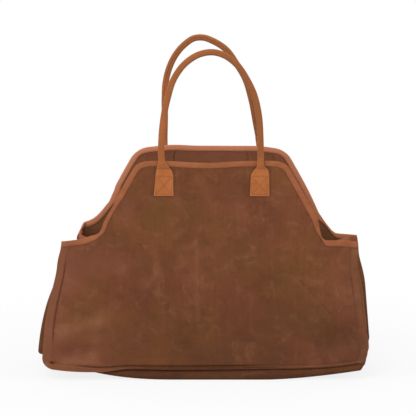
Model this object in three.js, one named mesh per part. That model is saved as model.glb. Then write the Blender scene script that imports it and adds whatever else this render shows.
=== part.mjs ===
// A log carrier bag of waxed canvas with leather handles, standing open on its base.
// Millimetres, +Z up, the front towards -Y, the origin on the floor under the bag's middle.

import * as THREE from 'three';

const { clamp, degToRad, lerp } = THREE.MathUtils;

// What the pieces are cut from.
const CLOTH = 1.6;
const TAPE = 0.8;
const LEATHER = 1.8;
const GAP = 0.3; // between two pieces that touch

// Outline of the front and back panels.
const RIM_HEIGHT = 411;
const TAB_ROOM = 3.8; // from a tab to where the rim begins to round
const SHOULDER_RUN = 20; // from the shoulder's corner to where its round begins
const SHOULDER_LEAN = degToRad(29); // of the sloping edge, from upright
const WING_HEIGHT = 262;
const WING_LENGTH = 62;
const WING_FALL = degToRad(4.5);
const WING_RUN = 31;
const FOOT_FLARE = 16; // how much further out the panel's foot is than its wing
const RIM_STEPS = 22;

// Front to back.
const MOUTH_DEPTH = 150;
const FOOT_DEPTH = 172;
const PANEL_BULGE = 8;
const WAVE_ROW_SHARES = [0, 0.15, 0.33, 0.5, 0.67, 0.85, 1];
const PLAIN_MARGIN = 12; // of plane cloth below the tabs

// Seams: the edges of two cloths, stitched face to face and left standing outside.
const FLANGE = 11;
const SEAM_HEIGHT = 26;
const CORNER_LIFT = 14;
const CORNER_POWER = 5;

// The base, flat on the floor in the middle and curling up at both ends.
const FLOOR_HALF_WIDTH = 140;
const FLOOR_LIFT = 24;
const FLOOR_POWER = 1.5;
const SEAM_TURN = 4; // across the fold beside the seam
const SLOPE_DEPTH = 7; // across the steep part of the slope down to the floor
const SLOPE_FOOT = 5; // across its gentle part
const SLOPE_SHARE = 0.4; // of the height, left to the gentle part
const BASE_STATION_SHARES = [0, 0.25, 0.5, 0.62, 0.74, 0.86, 1];

// The gussets, folded inwards at the top and bulging at the foot.
const FOLD_DEPTH = 40;
const FOLD_POWER = 1.3;
const SIDE_BULGE = 22;
const SIDE_POWER = 2;
const GUSSET_STEPS = 12;
const GUSSET_ROW_SHARES = [0, 0.15, 0.35, 0.55, 0.78, 1];
const BINDING_DROP = 10.5;
const SEAM_EASE = 4;
const BINDING_INSET = 5.5; // from the seams to the ends of a gusset's binding

// The handles: a strap folded round a cord, flaring into a flat tab at each end.
const HANDLE_HALF_SPAN = 90;
const HANDLE_RISE = 211; // from the rim to the top of the loop
const HINGE_RISE = 4; // from the rim to where the strap bends
const LEG_LENGTH = 51; // from there to where the arch springs
const LEG_ROW_SHARES = [0.35, 0.7];
const STRAP_WIDTH = 12.5;
const NECK_THICKNESS = 5.5;
const GRIP_THICKNESS = 10;
const NECK_LENGTH = 36;
const LEAN_IN = degToRad(5); // cut off the strap's end, so that it can lean inwards
const STRAP_SLIT = 1;
const STRAP_SIDES = 12;
const CORD_SIDES = 8;
const ARCH_STEPS = 18;
const TAB_THICKNESS = 2.4;
const TAB_LENGTH = 64;
const TAB_BOX = 32; // the stitched square at the tab's foot
const TAB_FOOT_WIDTH = 36.4;
const TAB_TOP_WIDTH = 33;
const TAB_FLARE = 15; // height over which the tab narrows to the strap
const TAB_STEP = 2.5; // height over which the tab climbs onto the binding
const PATCH_WIDTH = 46;
const PATCH_HEIGHT = 54;

const CANVAS = { color: 0x78482d, roughness: 0.78, metalness: 0 };
const BINDING = { color: 0xa06044, roughness: 0.85, metalness: 0 };
const TAN_LEATHER = { color: 0xad6934, roughness: 0.6, metalness: 0 };
const CORD = { color: 0xcdbb98, roughness: 0.9, metalness: 0 };

const HANDS = [['left', -1], ['right', 1]];
const WALLS = [['front', -1], ['back', 1]];

const bag = new THREE.Group();

// Closed solid through rings of points, in which point k lies across the piece from the
// point that is k before the last.
function loft(rings) {
  const count = rings[0].length;
  const points = rings.flat();
  const faces = [];
  const quad = (a, b, c, d) => faces.push([a, b, c], [a, c, d]);
  for (let i = 0; i + 1 < rings.length; i++) {
    for (let k = 0; k < count; k++) {
      const next = (k + 1) % count;
      quad(i * count + k, i * count + next, (i + 1) * count + next, (i + 1) * count + k);
    }
  }
  const last = points.length - count;
  for (let k = 0; k + 1 < count / 2; k++) {
    quad(k, count - 1 - k, count - 2 - k, k + 1);
    quad(last + k, last + k + 1, last + count - 2 - k, last + count - 1 - k);
  }
  let volume = 0;
  for (const [a, b, c] of faces) {
    volume += points[a].dot(new THREE.Vector3().crossVectors(points[b], points[c]));
  }
  const facing = volume > 0 ? faces : faces.map(([a, b, c]) => [a, c, b]);
  const geometry = new THREE.BufferGeometry();
  const positions = points.flatMap((p) => p.toArray());
  geometry.setAttribute('position', new THREE.Float32BufferAttribute(positions, 3));
  geometry.setIndex(facing.flat());
  geometry.computeVertexNormals();
  return geometry;
}

function piece(name, rings, finish) {
  const mesh = new THREE.Mesh(loft(rings), new THREE.MeshStandardMaterial(finish));
  mesh.name = name;
  bag.add(mesh);
}

// Mitred normals of a flat line, to its left.
function normals(line) {
  return line.map((point, i) => {
    const before = line[Math.max(i - 1, 0)];
    const after = line[Math.min(i + 1, line.length - 1)];
    const into = (i > 0 ? point.clone().sub(before) : after.clone().sub(point)).normalize();
    const out = (i + 1 < line.length ? after.clone().sub(point) : into.clone()).normalize();
    const along = into.clone().add(out).normalize();
    return new THREE.Vector2(-along.y, along.x).divideScalar(along.dot(into));
  });
}

function shifted(line, distance) {
  const ways = normals(line);
  return line.map((point, i) => point.clone().addScaledVector(ways[i], distance));
}

// The cut edge of a cloth that follows a flat line.
function ribbon(line, thickness) {
  return [...shifted(line, thickness / 2), ...shifted(line, -thickness / 2).reverse()];
}

const rimHalfWidth = HANDLE_HALF_SPAN + TAB_FOOT_WIDTH / 2 + TAB_ROOM + SHOULDER_RUN;
const crookHeight = WING_HEIGHT + WING_LENGTH * Math.tan(WING_FALL);
const crookHalfWidth = rimHalfWidth + (RIM_HEIGHT - crookHeight) * Math.tan(SHOULDER_LEAN);
const wingHalfWidth = crookHalfWidth + WING_LENGTH;
const footHalfWidth = wingHalfWidth + FOOT_FLARE;
const patchTop = RIM_HEIGHT - BINDING_DROP - TAPE - GAP;
const plainFoot = Math.min(RIM_HEIGHT - TAB_LENGTH, patchTop - PATCH_HEIGHT) - PLAIN_MARGIN;
const waveShare = (plainFoot - SEAM_HEIGHT) / (RIM_HEIGHT - SEAM_HEIGHT);

function halfDepth(z) {
  const share = (z - SEAM_HEIGHT) / (RIM_HEIGHT - SEAM_HEIGHT);
  return lerp(FOOT_DEPTH, MOUTH_DEPTH, share) / 2;
}

function seamHeight(x) {
  return SEAM_HEIGHT + CORNER_LIFT * (Math.abs(x) / footHalfWidth) ** CORNER_POWER;
}

function floorHeight(x) {
  const past = Math.max(Math.abs(x) - FLOOR_HALF_WIDTH, 0);
  return FLOOR_LIFT * (past / (footHalfWidth - FLOOR_HALF_WIDTH)) ** FLOOR_POWER;
}

const flangeFoot = seamHeight(footHalfWidth) - FLANGE;

function sideEdge(z) {
  const share = (z - flangeFoot) / (WING_HEIGHT - flangeFoot);
  return lerp(footHalfWidth, wingHalfWidth, share);
}

// Half of the top edge, from the middle out over the shoulder to the wing.
function halfRim() {
  const shoulder = new THREE.Vector2(rimHalfWidth, RIM_HEIGHT);
  const crook = new THREE.Vector2(crookHalfWidth, crookHeight);
  const tip = new THREE.Vector2(wingHalfWidth, WING_HEIGHT);
  const slope = crook.clone().sub(shoulder).normalize();
  const wing = tip.clone().sub(crook).normalize();
  const leaves = shoulder.clone().addScaledVector(slope, SHOULDER_RUN);
  const enters = crook.clone().addScaledVector(slope, -WING_RUN);
  const ends = crook.clone().addScaledVector(wing, WING_RUN);
  const path = new THREE.Path();
  path.moveTo(0, RIM_HEIGHT);
  path.lineTo(rimHalfWidth - SHOULDER_RUN, RIM_HEIGHT);
  path.quadraticCurveTo(shoulder.x, shoulder.y, leaves.x, leaves.y);
  path.lineTo(enters.x, enters.y);
  path.quadraticCurveTo(crook.x, crook.y, ends.x, ends.y);
  path.lineTo(tip.x, tip.y);
  return path.getSpacedPoints(RIM_STEPS);
}

const right = halfRim();
const left = right.slice(1).map((point) => new THREE.Vector2(-point.x, point.y));
const rim = [...left.reverse(), ...right];

// Front or back panel, one cloth from its lower flange up to the top edge.
function panel(side) {
  return rim.map((top) => {
    const foot = (top.x * footHalfWidth) / wingHalfWidth;
    const seam = seamHeight(foot);
    const middle = 1 - (top.x / wingHalfWidth) ** 2;
    const place = (z, share) => {
      const x = lerp(foot, top.x, (z - seam + FLANGE) / (top.y - seam + FLANGE));
      const bulge = PANEL_BULGE * middle * Math.sin(Math.PI * share) ** 2;
      return new THREE.Vector3(x, side * (halfDepth(z) + bulge), z);
    };
    const wave = WAVE_ROW_SHARES.map((share) => {
      return place(lerp(seam, top.y, share * waveShare), share);
    });
    const line = [place(seam - FLANGE, 0), ...wave, place(top.y, 1)];
    const half = new THREE.Vector3(0, CLOTH / 2, 0);
    const front = line.map((point) => point.clone().sub(half));
    const back = line.map((point) => point.clone().add(half));
    return [...front, ...back.reverse()];
  });
}

// Tape folded over the top edge of a panel.
function rimBinding(side) {
  const up = normals(rim);
  const inside = CLOTH / 2 + GAP;
  const outside = inside + TAPE;
  return rim.map((top, i) => {
    const place = (across, rise) => {
      const point = top.clone().addScaledVector(up[i], rise);
      return new THREE.Vector3(point.x, side * halfDepth(point.y) + across, point.y);
    };
    return [
      place(-outside, -BINDING_DROP),
      place(-outside, GAP + TAPE),
      place(outside, GAP + TAPE),
      place(outside, -BINDING_DROP),
      place(inside, -BINDING_DROP),
      place(inside, GAP),
      place(-inside, GAP),
      place(-inside, -BINDING_DROP),
    ];
  });
}

// How far behind a panel a gusset's flange lies: further where the tape's edge is between.
const easeFoot = WING_HEIGHT - BINDING_DROP - 2 * SEAM_EASE;

function seamStep(z) {
  const share = clamp((z - easeFoot) / SEAM_EASE, 0, 1);
  return CLOTH + GAP + (TAPE + GAP) * share;
}

// Plan of a gusset's wall at one height, as the distance out from the bag's middle.
function gussetWall(share, z) {
  const height = clamp((z - flangeFoot) / (WING_HEIGHT - flangeFoot), 0, 1);
  const fold = FOLD_DEPTH * height ** FOLD_POWER * (1 - Math.abs(share));
  const bulge = SIDE_BULGE * (1 - height) ** SIDE_POWER * (1 - share ** 2);
  const x = sideEdge(z) - FLANGE - fold + bulge;
  return new THREE.Vector2(x, share * (halfDepth(z) - seamStep(z)));
}

const baseWall = halfDepth(SEAM_HEIGHT) - CLOTH - GAP;
const floorHalfDepth = baseWall - SEAM_TURN - SLOPE_DEPTH - SLOPE_FOOT;

function gussetFoot(share) {
  const point = gussetWall(share, flangeFoot);
  const edge = halfDepth(flangeFoot) - seamStep(flangeFoot);
  const past = clamp((Math.abs(point.y) - floorHalfDepth) / (edge - floorHalfDepth), 0, 1);
  return lerp(floorHeight(point.x), flangeFoot, past);
}

const gussetShares = [];
for (let i = 0; i <= GUSSET_STEPS; i++) {
  gussetShares.push((2 * i) / GUSSET_STEPS - 1);
}

function gusset(side) {
  const rows = [
    ...GUSSET_ROW_SHARES.map((share) => (foot) => lerp(foot, easeFoot, share)),
    () => easeFoot + SEAM_EASE,
    () => WING_HEIGHT,
  ];
  return rows.map((row) => {
    const heights = [-1, ...gussetShares, 1].map((share) => row(gussetFoot(share)));
    const wall = gussetShares.map((share, i) => gussetWall(share, heights[i + 1]));
    const tip = (point, z) => new THREE.Vector2(sideEdge(z), point.y);
    const first = tip(wall[0], heights[0]);
    const last = tip(wall[wall.length - 1], heights[0]);
    const ring = ribbon([first, ...wall, last], CLOTH);
    const levels = [...heights, ...[...heights].reverse()];
    return ring.map((point, i) => new THREE.Vector3(side * point.x, point.y, levels[i]));
  });
}

// Tape folded over the top edge of a gusset.
function gussetBinding(side) {
  const ends = 1 - BINDING_INSET / (halfDepth(WING_HEIGHT) - seamStep(WING_HEIGHT));
  const shares = gussetShares.map((share) => share * ends);
  const inside = CLOTH / 2 + GAP;
  const outside = inside + TAPE;
  const at = (distance, rise) => {
    const height = WING_HEIGHT + rise;
    const line = shares.map((share) => gussetWall(share, Math.min(height, WING_HEIGHT)));
    const points = shifted(line, distance);
    return points.map((point) => new THREE.Vector3(side * point.x, point.y, height));
  };
  const edges = [
    at(-outside, -BINDING_DROP),
    at(-outside, GAP + TAPE),
    at(outside, GAP + TAPE),
    at(outside, -BINDING_DROP),
    at(inside, -BINDING_DROP),
    at(inside, GAP),
    at(-inside, GAP),
    at(-inside, -BINDING_DROP),
  ];
  return shares.map((_, i) => edges.map((edge) => edge[i]));
}

// The base, one cloth from the front seam's flange across the floor to the back seam's.
function basePanel() {
  const stations = [
    ...BASE_STATION_SHARES.slice(1).reverse().map((share) => -share),
    ...BASE_STATION_SHARES,
  ];
  return stations.map((station) => {
    const along = station * (footHalfWidth - FLANGE);
    const seam = seamHeight(along);
    const wall = halfDepth(seam) - CLOTH - GAP;
    const low = floorHeight(along) + CLOTH / 2;
    const half = [
      new THREE.Vector2(wall, seam - FLANGE),
      new THREE.Vector2(wall, seam),
      new THREE.Vector2(wall - SEAM_TURN, seam),
      new THREE.Vector2(wall - SEAM_TURN - SLOPE_DEPTH, lerp(low, seam, SLOPE_SHARE)),
      new THREE.Vector2(floorHalfDepth, low),
      new THREE.Vector2(floorHalfDepth / 2, low),
    ];
    const mirrored = half.map((point) => new THREE.Vector2(-point.x, point.y));
    const middle = new THREE.Vector2(0, low);
    const line = [...mirrored, middle, ...half.reverse()];
    return ribbon(line, CLOTH).map((point) => {
      const share = clamp(point.x / wall, -1, 1);
      const slant = Math.hypot(1, (2 * SIDE_BULGE * share) / wall);
      const end = gussetWall(share, Math.max(point.y, flangeFoot)).x;
      const x = station * (end - (CLOTH / 2) * slant - 2 * GAP);
      const lift = floorHeight(x) - floorHeight(along);
      const level = (seam - point.y) / (seam - low);
      return new THREE.Vector3(x, point.x, point.y + lift * clamp(level, 0, 1));
    });
  });
}

// Where the strap's outer face turns, level with the tabs' upper ends.
const hingeHeight = RIM_HEIGHT + HINGE_RISE;
const neckBack = halfDepth(RIM_HEIGHT) + CLOTH / 2 + GAP + TAPE + GAP;
const hingeDepth = neckBack + NECK_THICKNESS;

// Tab on the outside of a panel, stepping out over the binding and into the neck.
function tab(side, across) {
  const onPanel = (z) => halfDepth(z) + CLOTH / 2 + GAP;
  const foot = RIM_HEIGHT - TAB_LENGTH;
  const step = patchTop;
  const box = foot + TAB_BOX;
  const flare = RIM_HEIGHT - TAB_FLARE;
  const widthAt = (share) => lerp(TAB_TOP_WIDTH, STRAP_WIDTH, share);
  const stepShare = (step - flare) / (RIM_HEIGHT - flare);
  const stations = [
    [foot, TAB_FOOT_WIDTH, onPanel(foot), TAB_THICKNESS],
    [box, TAB_TOP_WIDTH, onPanel(box), TAB_THICKNESS],
    [flare, TAB_TOP_WIDTH, onPanel(flare), TAB_THICKNESS],
    [step - TAB_STEP, widthAt(stepShare / 2), onPanel(step - TAB_STEP), TAB_THICKNESS],
    [step, widthAt(stepShare), neckBack, TAB_THICKNESS],
    [RIM_HEIGHT, STRAP_WIDTH, neckBack, NECK_THICKNESS],
    [hingeHeight, STRAP_WIDTH, neckBack, NECK_THICKNESS],
  ];
  return stations.map(([z, width, depth, thickness]) => {
    const place = (x, y) => new THREE.Vector3(across + x, side * y, z);
    return [
      place(-width / 2, depth),
      place(width / 2, depth),
      place(width / 2, depth + thickness),
      place(-width / 2, depth + thickness),
    ];
  });
}

// Cloth patch behind a tab, below the binding's inner edge.
function patch(side, across) {
  return [patchTop - PATCH_HEIGHT, patchTop].map((z) => {
    const depth = halfDepth(z) - CLOTH / 2 - GAP;
    const place = (x, y) => new THREE.Vector3(across + x, side * y, z);
    return [
      place(-PATCH_WIDTH / 2, depth),
      place(PATCH_WIDTH / 2, depth),
      place(PATCH_WIDTH / 2, depth - CLOTH),
      place(-PATCH_WIDTH / 2, depth - CLOTH),
    ];
  });
}

// Centre line of a handle: points, each with the way out of the loop.
const archFoot = hingeHeight + LEG_LENGTH;
const archHeight = RIM_HEIGHT + HANDLE_RISE - STRAP_WIDTH / 2 - archFoot;

function handleLine() {
  const rows = LEG_ROW_SHARES.map((share) => hingeHeight + LEG_LENGTH * share);
  const legs = [hingeHeight + GAP, ...rows];
  const leg = (x) => (z) => [new THREE.Vector2(x, z), new THREE.Vector2(Math.sign(x), 0)];
  const line = legs.map(leg(-HANDLE_HALF_SPAN));
  for (let i = 0; i <= ARCH_STEPS; i++) {
    const turn = Math.PI * (1 - i / ARCH_STEPS);
    const x = HANDLE_HALF_SPAN * Math.cos(turn);
    const z = archFoot + archHeight * Math.sin(turn);
    const out = new THREE.Vector2(x / HANDLE_HALF_SPAN ** 2, (z - archFoot) / archHeight ** 2);
    line.push([new THREE.Vector2(x, z), out.normalize()]);
  }
  line.push(...legs.reverse().map(leg(HANDLE_HALF_SPAN)));
  return line;
}

// Leather strap wrapped round the cord, its edges meeting along the side by the bag.
function strap(side) {
  const centre = hingeDepth - NECK_THICKNESS / 2;
  const slit = Math.asin(STRAP_SLIT / STRAP_WIDTH);
  const turns = [];
  for (let k = 0; k < STRAP_SIDES; k++) {
    turns.push(lerp(slit, 2 * Math.PI - slit, k / (STRAP_SIDES - 1)));
  }
  return handleLine().map(([point, out]) => {
    const grown = clamp((point.y - hingeHeight) / NECK_LENGTH, 0, 1);
    const thickness = lerp(NECK_THICKNESS, GRIP_THICKNESS, grown);
    const atEnd = point.y <= hingeHeight + GAP;
    const place = (turn, skin) => {
      const across = (STRAP_WIDTH / 2 - skin) * Math.sin(turn);
      const depth = centre - (thickness / 2 - skin) * Math.cos(turn);
      const bevel = atEnd ? (hingeDepth - depth) * Math.tan(LEAN_IN) : 0;
      const x = point.x + out.x * across;
      return new THREE.Vector3(x, side * depth, point.y + out.y * across + bevel);
    };
    const outer = turns.map((turn) => place(turn, 0));
    const inner = turns.map((turn) => place(turn, LEATHER));
    return [...outer, ...inner.reverse()];
  });
}

function cord(side) {
  const centre = hingeDepth - NECK_THICKNESS / 2;
  const radius = GRIP_THICKNESS / 2 - LEATHER - GAP;
  const line = handleLine().filter(([point]) => point.y >= hingeHeight + NECK_LENGTH);
  return line.map(([point, out]) => {
    const ring = [];
    for (let k = 0; k < CORD_SIDES; k++) {
      const turn = (2 * Math.PI * k) / CORD_SIDES;
      const across = radius * Math.sin(turn);
      const depth = centre - radius * Math.cos(turn);
      const x = point.x + out.x * across;
      ring.push(new THREE.Vector3(x, side * depth, point.y + out.y * across));
    }
    return ring;
  });
}

piece('base_panel', basePanel(), CANVAS);
for (const [hand, side] of HANDS) {
  piece(`${hand}_gusset`, gusset(side), CANVAS);
  piece(`${hand}_gusset_binding`, gussetBinding(side), BINDING);
}
for (const [wall, side] of WALLS) {
  piece(`${wall}_panel`, panel(side), CANVAS);
  piece(`${wall}_rim_binding`, rimBinding(side), BINDING);
  for (const [hand, way] of HANDS) {
    piece(`${wall}_${hand}_tab`, tab(side, way * HANDLE_HALF_SPAN), TAN_LEATHER);
    piece(`${wall}_${hand}_patch`, patch(side, way * HANDLE_HALF_SPAN), CANVAS);
  }
  piece(`${wall}_handle_strap`, strap(side), TAN_LEATHER);
  piece(`${wall}_handle_cord`, cord(side), CORD);
}

export default bag;
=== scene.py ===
import math

import bpy
import numpy as np
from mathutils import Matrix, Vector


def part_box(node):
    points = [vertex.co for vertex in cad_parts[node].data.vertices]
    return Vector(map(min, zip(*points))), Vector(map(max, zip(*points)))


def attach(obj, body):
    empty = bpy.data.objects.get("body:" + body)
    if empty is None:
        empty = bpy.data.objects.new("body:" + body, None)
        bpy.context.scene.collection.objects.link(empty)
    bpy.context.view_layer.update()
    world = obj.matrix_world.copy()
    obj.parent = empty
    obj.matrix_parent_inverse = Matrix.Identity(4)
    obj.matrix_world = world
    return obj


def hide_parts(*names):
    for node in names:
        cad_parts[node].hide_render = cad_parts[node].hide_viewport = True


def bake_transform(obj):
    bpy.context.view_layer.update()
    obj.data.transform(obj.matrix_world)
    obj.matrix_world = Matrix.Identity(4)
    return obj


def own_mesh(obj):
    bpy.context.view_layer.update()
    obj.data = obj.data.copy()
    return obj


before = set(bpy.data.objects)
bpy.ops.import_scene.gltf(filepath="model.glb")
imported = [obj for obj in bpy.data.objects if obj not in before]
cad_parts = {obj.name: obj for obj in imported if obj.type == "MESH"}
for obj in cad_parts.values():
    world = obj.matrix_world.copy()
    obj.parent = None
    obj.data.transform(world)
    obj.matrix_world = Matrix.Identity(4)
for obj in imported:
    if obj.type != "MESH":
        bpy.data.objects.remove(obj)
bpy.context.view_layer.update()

# The camera looks at the front panel from a little above, from far off, as in a shop's picture.
CAMERA_ELEVATION = math.radians(11)
CAMERA_DISTANCE = 20.0
CAMERA_AIM = np.array([-0.0056, 0, 0.3093])
FRONT_NEARER = 0.0785  # how much nearer than the aim the front panel is
PICTURE_WIDTH = 0.7696  # what the picture takes in across the front panel
SENSOR = 36.0

camera_back = np.array([0, -math.cos(CAMERA_ELEVATION), math.sin(CAMERA_ELEVATION)])
bpy.ops.object.select_all(action="DESELECT")
bpy.ops.object.camera_add(
    location=CAMERA_AIM + CAMERA_DISTANCE * camera_back,
    rotation=(math.pi / 2 - CAMERA_ELEVATION, 0, 0),
)
camera = bpy.context.object
camera.data.sensor_width = SENSOR
camera.data.lens = SENSOR * (CAMERA_DISTANCE - FRONT_NEARER) / PICTURE_WIDTH
bpy.context.scene.camera = camera
bpy.context.scene.view_settings.view_transform = "Standard"


# Colours and shader nodes are written in a short form.
def srgb(red, green, blue):
    """The shader's colour for one that is written in the usual steps from 0 to 255."""
    parts = np.array([red, green, blue]) / 255
    linear = np.where(parts <= 0.04045, parts / 12.92, ((parts + 0.055) / 1.055) ** 2.4)
    return (*linear, 1.0)


def shader(name):
    """A new material, as its node tree and its main shader."""
    material = bpy.data.materials.new(name)
    material.use_nodes = True
    return material, material.node_tree, material.node_tree.nodes["Principled BSDF"]


def feed(tree, socket, value):
    """Links a socket to another, or writes a plain value on it."""
    if isinstance(value, bpy.types.NodeSocket):
        tree.links.new(value, socket)
    else:
        socket.default_value = value


def node(tree, kind, inputs=(), **settings):
    """A new node with its settings, and its inputs by name or number."""
    made = tree.nodes.new(kind)
    for name, value in settings.items():
        setattr(made, name, value)
    for name, value in dict(inputs).items():
        feed(tree, made.inputs[name], value)
    return made


def mix(tree, share, first, second):
    """One colour over another by a share."""
    made = node(tree, "ShaderNodeMix", data_type="RGBA")
    for number, value in ((0, share), (6, first), (7, second)):
        feed(tree, made.inputs[number], value)
    return made.outputs[2]


def painted(tree, tone, *coats):
    """Colours in steps from 0 to 255 laid over a tone, each by its share."""
    for share, colour in coats:
        tone = mix(tree, share, tone, srgb(*colour))
    return tone


def maths(tree, operation, first, second=0.0, **settings):
    inputs = {0: first, 1: second}
    return node(tree, "ShaderNodeMath", inputs, operation=operation, **settings).outputs[0]


def times(tree, first, second):
    """The product of two values, kept between 0 and 1."""
    return maths(tree, "MULTIPLY", first, second, use_clamp=True)


def span(tree, value, low, high, to_low=0.0, to_high=1.0):
    """A value that goes evenly from to_low to to_high while another goes from low to high."""
    inputs = {0: value, 1: low, 2: high, 3: to_low, 4: to_high}
    return node(tree, "ShaderNodeMapRange", inputs, clamp=True).outputs[0]


def cloud(tree, where, scale, detail=3.0, distortion=0.0, roughness=0.5):
    """Soft noise, in patches of about 1/scale metres."""
    inputs = {"Vector": where, "Scale": scale, "Detail": detail}
    inputs.update({"Distortion": distortion, "Roughness": roughness})
    return node(tree, "ShaderNodeTexNoise", inputs).outputs["Fac"]


def shifted(tree, where, offset):
    """The same places, moved, so that two patterns don't match."""
    inputs = {0: where, 1: offset}
    return node(tree, "ShaderNodeVectorMath", inputs, operation="ADD").outputs[0]


def stripes(tree, where, pitch, direction):
    """Even waves of a given pitch in metres."""
    turns_per_unit = math.tau / 20  # of the wave texture at scale 1
    inputs = {"Vector": where, "Scale": turns_per_unit / pitch}
    made = node(tree, "ShaderNodeTexWave", inputs, bands_direction=direction)
    return made.outputs["Fac"]


def relief(tree, height, distance, strength):
    """The surface's normals as a height raises them."""
    inputs = {"Height": height, "Distance": distance, "Strength": strength}
    return node(tree, "ShaderNodeBump", inputs).outputs["Normal"]


def written(tree, name):
    """The value that a mesh holds under a name at its points."""
    return node(tree, "ShaderNodeAttribute", attribute_name=name).outputs["Fac"]


# Floor and light: a pale floor under soft light from all round and from wide lamps in front and
# at both sides. It is seen as white, and away from the bag as plain white, as what lies beyond.
FLOOR_SIZE = 60.0
WORLD_LIGHT = 0.42
SHADOW_REACH = (0.25, 0.85)  # where the floor goes over from shadows to plain white
SHADOW_LIFT = 0.84  # how much of that white there is under the bag
LAMPS = [  # place, aim, width, power in watts
    ((-0.7, -3.2, 3.1), (0, 0, 0.25), 1.6, 54.0),
    ((-2.9, -1.9, 1.5), (0, 0, 0.2), 1.6, 38.0),
    ((2.9, -1.9, 1.5), (0, 0, 0.2), 1.6, 34.0),
    ((0.2, -0.2, 3.6), (0, 0, 0.2), 2.4, 9.0),
]


def seen_directly(tree):
    """1 where the camera, a mirror or a lens sees the surface, and 0 for the light it gives."""
    path = node(tree, "ShaderNodeLightPath")
    seen = maths(tree, "MAXIMUM", path.outputs["Is Camera Ray"], path.outputs["Is Glossy Ray"])
    return maths(tree, "MAXIMUM", seen, path.outputs["Is Transmission Ray"])


bpy.ops.object.select_all(action="DESELECT")
bpy.ops.mesh.primitive_plane_add(size=FLOOR_SIZE)
floor = bpy.context.object
floor.name = "floor"
floor_material, tree, main = shader("white_floor")
sight = seen_directly(tree)
feed(tree, main.inputs["Base Color"], mix(tree, sight, srgb(178, 176, 174), srgb(252, 252, 252)))
main.inputs["Roughness"].default_value = 1.0
main.inputs["Specular IOR Level"].default_value = 0.0
place = node(tree, "ShaderNodeTexCoord").outputs["Object"]
away = node(tree, "ShaderNodeVectorMath", {0: place}, operation="LENGTH").outputs["Value"]
far = span(tree, away, *SHADOW_REACH, SHADOW_LIFT, 1.0)
lightened = times(tree, far, sight)
white = node(tree, "ShaderNodeEmission", {"Color": (1, 1, 1, 1), "Strength": 1.0})
both = node(tree, "ShaderNodeMixShader", {0: lightened, 1: main.outputs[0], 2: white.outputs[0]})
feed(tree, tree.nodes["Material Output"].inputs["Surface"], both.outputs[0])
floor.data.materials.append(floor_material)

world = bpy.context.scene.world or bpy.data.worlds.new("studio")
bpy.context.scene.world = world
world.use_nodes = True
background = world.node_tree.nodes["Background"]
background.inputs["Color"].default_value = (1, 1, 1, 1)
strength = span(world.node_tree, seen_directly(world.node_tree), 0, 1, WORLD_LIGHT, 1.0)
feed(world.node_tree, background.inputs["Strength"], strength)

for place, aim, width, power in LAMPS:
    bpy.ops.object.light_add(type="AREA", location=place)
    lamp = bpy.context.object
    lamp.data.size = width
    lamp.data.energy = power
    away = lamp.location - Vector(aim)
    lamp.rotation_euler = away.to_track_quat("Z", "Y").to_euler()


# The front and back panels: heavy waxed canvas, each cut in one piece with a flat top for the
# handles, sloping shoulders and two low wings. Their edges at the sides and foot are seam
# allowances, which are sewn face to face with the gussets and the base and stand outwards.
FRONT, BACK = -1, 1
CLOTH = 0.0016
GAP = 0.0003  # between two layers that touch
RIM_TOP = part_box("front_panel")[1].z
FOOT_HALF_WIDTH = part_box("front_panel")[1].x
WING_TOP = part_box("left_gusset")[1].z
MOUTH_HALF_DEPTH = 0.075
FOOT_HALF_DEPTH = 0.086
SHOULDER_HALF_WIDTH = 0.132
SHOULDER_ROUND = 0.020
SLOPE_FROM_UPRIGHT = math.radians(29)
WING_LENGTH = 0.062
WING_FALL = math.radians(4.5)
CROOK_ROUND = 0.031
SEAM_HEIGHT = 0.026
SEAM_END_LIFT = 0.014
SEAM_POWER = 4
FLANGE = 0.014  # width of the seam allowances
FOOT_KEPT = 0.0116  # of that at the foot, at the front's left end
FOOT_TRIMMED = 0.0052  # of most of that at the foot
CORNER_ROUND = 0.018  # of a panel's lower corners
CORNER_SHARP = 0.005  # of the corners that aren't rounded
BELLY = 0.008  # how far a panel's middle stands out
BELLY_TOP = 0.333
GROOVE_DEPTH = 0.0030  # pulled in by the seams' stitches
GROOVE_WIDTH = 0.0019
# Width of the painted shade in the seams' grooves.
GROOVE_SHADE_WIDTH = 0.0012
SEAM_TURN = 0.0022  # radius at which the foot's seam allowance turns out
GAPE_DEPTH = 0.004  # of the small hole where the seams meet at the left
CURL = 0.0016  # of the side seams' allowances
FINE_ZONE = 0.030  # beside the seams, where the grid is close enough for the groove


def smooth(value, low, high):
    """0 up to low, 1 from high, and an even curve between."""
    share = np.clip((value - low) / (high - low), 0, 1)
    return share * share * (3 - 2 * share)


def hump(value, middle, half_width):
    """1 at the middle, and less and less away from it."""
    return np.exp(-(((value - middle) / half_width) ** 2))


def lerp(first, second, share):
    return first + (second - first) * share


def bend(start, corner, end, share):
    """A round way from start to end that a corner draws to it."""
    return start * (1 - share) ** 2 + 2 * corner * share * (1 - share) + end * share**2


def stacked(*parts):
    return np.stack(np.broadcast_arrays(*parts), axis=-1)


def unit(vectors):
    return vectors / np.linalg.norm(vectors, axis=-1, keepdims=True)


def run_along(points):
    """The way along a line up to each of its points."""
    return np.concatenate([[0], np.cumsum(np.linalg.norm(np.diff(points, axis=0), axis=1))])


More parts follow.
